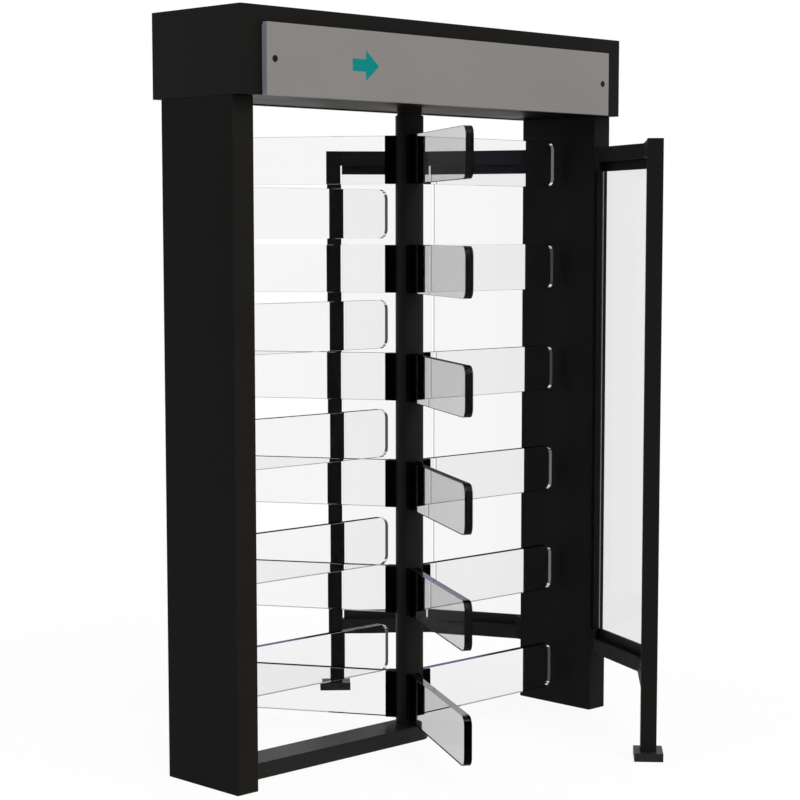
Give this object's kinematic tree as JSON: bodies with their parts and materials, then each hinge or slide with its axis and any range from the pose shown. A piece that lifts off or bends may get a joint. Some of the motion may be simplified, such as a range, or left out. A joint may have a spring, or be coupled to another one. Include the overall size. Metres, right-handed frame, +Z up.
{
  "type": "full height turnstile",
  "caption": "Full height turnstile: a rotor post with wings of clear arms turns past fixed comb plates between columns, with glazed guards and an overhead housing.",
  "frame": {"origin": "on the floor at the rotor's axis", "axes": "+Z up, +X along the housing from the comb side to the guard side, -Y towards the entry side with the access cover"},
  "size_m": [1.673, 1.5956, 2.3],
  "materials": {
    "black_paint": "satin black powder coat",
    "clamp_black": "satin deep black coat",
    "cover_paint": "satin grey coat",
    "teal_plastic": "satin sign film",
    "bright_steel": "brushed",
    "dark_steel": "machined, oiled",
    "bronze": "turned",
    "light_plastic": "fine texture",
    "clear_acrylic": "polished clear",
    "clear_glass": "clear"
  },
  "bodies": {
    "root": {"lintel_housing": "black_paint", "underside_panel": "black_paint", "mechanism_plate": "bright_steel", "upper_bearing": "dark_steel", "lock_block": "dark_steel", "control_box": "light_plastic", "left_column": "black_paint", "right_column": "black_paint", "floor_bar": "black_paint", "pivot_pin": "bright_steel", "comb_plate_1": "clear_acrylic", "comb_plate_2": "clear_acrylic", "comb_plate_3": "clear_acrylic", "comb_plate_4": "clear_acrylic", "comb_plate_5": "clear_acrylic", "front_guard_bottom_rail_inner": "black_paint", "front_guard_bottom_rail_outer": "black_paint", "front_guard_top_rail_inner": "black_paint", "front_guard_top_rail_outer": "black_paint", "back_guard_bottom_rail_inner": "black_paint", "back_guard_bottom_rail_outer": "black_paint", "back_guard_top_rail_inner": "black_paint", "back_guard_top_rail_outer": "black_paint", "front_guard_pane_inner": "clear_glass", "front_guard_pane_outer": "clear_glass", "back_guard_pane_inner": "clear_glass", "back_guard_pane_outer": "clear_glass", "front_guard_post": "black_paint", "back_guard_post": "black_paint", "front_post_shoe": "black_paint", "back_post_shoe": "black_paint", "front_guard_stile": "clamp_black", "back_guard_stile": "clamp_black"},
    "rotor": {"rotor_post": "clamp_black", "arm_1_a": "clear_acrylic", "arm_1_b": "clear_acrylic", "arm_1_c": "clear_acrylic", "arm_2_a": "clear_acrylic", "arm_2_b": "clear_acrylic", "arm_2_c": "clear_acrylic", "arm_3_a": "clear_acrylic", "arm_3_b": "clear_acrylic", "arm_3_c": "clear_acrylic", "arm_4_a": "clear_acrylic", "arm_4_b": "clear_acrylic", "arm_4_c": "clear_acrylic", "arm_5_a": "clear_acrylic", "arm_5_b": "clear_acrylic", "arm_5_c": "clear_acrylic", "arm_6_a": "clear_acrylic", "arm_6_b": "clear_acrylic", "arm_6_c": "clear_acrylic", "index_shaft": "clamp_black", "lower_bush": "bronze"},
    "cover": {"front_cover": "cover_paint", "cover_frame": "cover_paint"},
    "left_lock": {"cover_lock_left": "clamp_black"},
    "right_lock": {"cover_lock_right": "clamp_black"},
    "entry_bolt": {"lock_bolt_entry": "bright_steel"},
    "exit_bolt": {"lock_bolt_exit": "bright_steel"}
  },
  "joints": [
    {"name": "rotor_spin", "type": "hinge", "parent": "root", "child": "rotor", "pos_m": [0, 0, 0], "axis": [0, 0, 1], "continuous": true},
    {"name": "cover_hinge", "type": "hinge", "parent": "root", "child": "cover", "pos_m": [0, -0.206, 2.2485], "axis": [-1, 0, 0], "range_deg": [0, 90]},
    {"name": "left_lock_turn", "type": "hinge", "parent": "cover", "child": "left_lock", "pos_m": [-0.762, -0.2235, 2.149], "axis": [0, -1, 0], "range_deg": [0, 90]},
    {"name": "right_lock_turn", "type": "hinge", "parent": "cover", "child": "right_lock", "pos_m": [0.689, -0.2235, 2.149], "axis": [0, 1, 0], "range_deg": [0, 90]},
    {"name": "entry_bolt_slide", "type": "slide", "parent": "root", "child": "entry_bolt", "axis": [-1, 0, 0], "range_m": [0, 0.012], "stiffness_N_per_m": 200, "springref_m": -0.005},
    {"name": "exit_bolt_slide", "type": "slide", "parent": "root", "child": "exit_bolt", "axis": [-1, 0, 0], "range_m": [0, 0.012], "stiffness_N_per_m": 200, "springref_m": -0.005}
  ]
}
